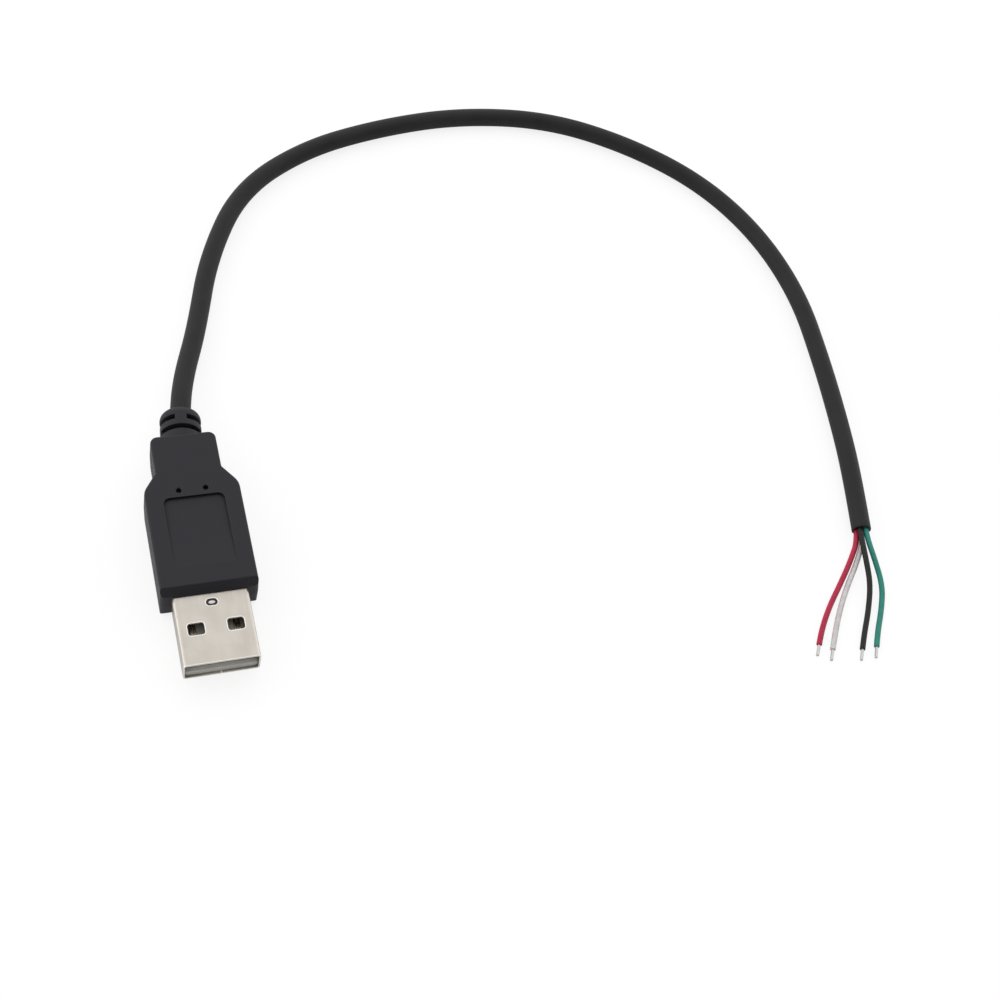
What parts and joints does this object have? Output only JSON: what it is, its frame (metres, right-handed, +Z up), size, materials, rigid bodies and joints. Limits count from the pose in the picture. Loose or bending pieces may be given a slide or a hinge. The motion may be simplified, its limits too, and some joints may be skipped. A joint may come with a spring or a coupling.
{
  "type": "usb pigtail cable",
  "caption": "Flat data and power plug in a moulded housing with a strain-relief boot, on a short round cable whose other end fans out into stripped, tinned wires.",
  "frame": {"origin": "middle of the plug's mouth, on the plug's axis; the table is 4 mm below it", "axes": "+Y from the mouth to the cable along the plug's axis, +Z up from the plug's underside to its panel"},
  "size_m": [0.1343, 0.1321, 0.008],
  "materials": {
    "shell_metal": "dull nickel plate on folded sheet steel",
    "contact_metal": "bright plating on stamped strip",
    "carrier_plastic": "off-white, smooth",
    "solder": "dull tin",
    "tinned_strands": "tinned, slightly dull",
    "inner_mould_plastic": "semi-rigid, matt",
    "housing_rubber": "soft moulding, fine matt texture",
    "jacket_rubber": "smooth, satin",
    "red_insulation": "smooth, satin",
    "white_insulation": "smooth, satin",
    "green_insulation": "smooth, satin",
    "black_insulation": "smooth, satin"
  },
  "bodies": {
    "root": {"metal_shell": "shell_metal", "contact_carrier": "carrier_plastic", "contact_ground": "contact_metal", "contact_data_plus": "contact_metal", "contact_data_minus": "contact_metal", "contact_power": "contact_metal", "solder_joint_ground": "solder", "solder_joint_data_plus": "solder", "solder_joint_data_minus": "solder", "solder_joint_power": "solder", "red_wire": "red_insulation", "white_wire": "white_insulation", "green_wire": "green_insulation", "black_wire": "black_insulation", "red_tinned_end": "tinned_strands", "white_tinned_end": "tinned_strands", "green_tinned_end": "tinned_strands", "black_tinned_end": "tinned_strands", "cable_jacket": "jacket_rubber", "inner_mould": "inner_mould_plastic", "overmould": "housing_rubber"}
  },
  "joints": []
}
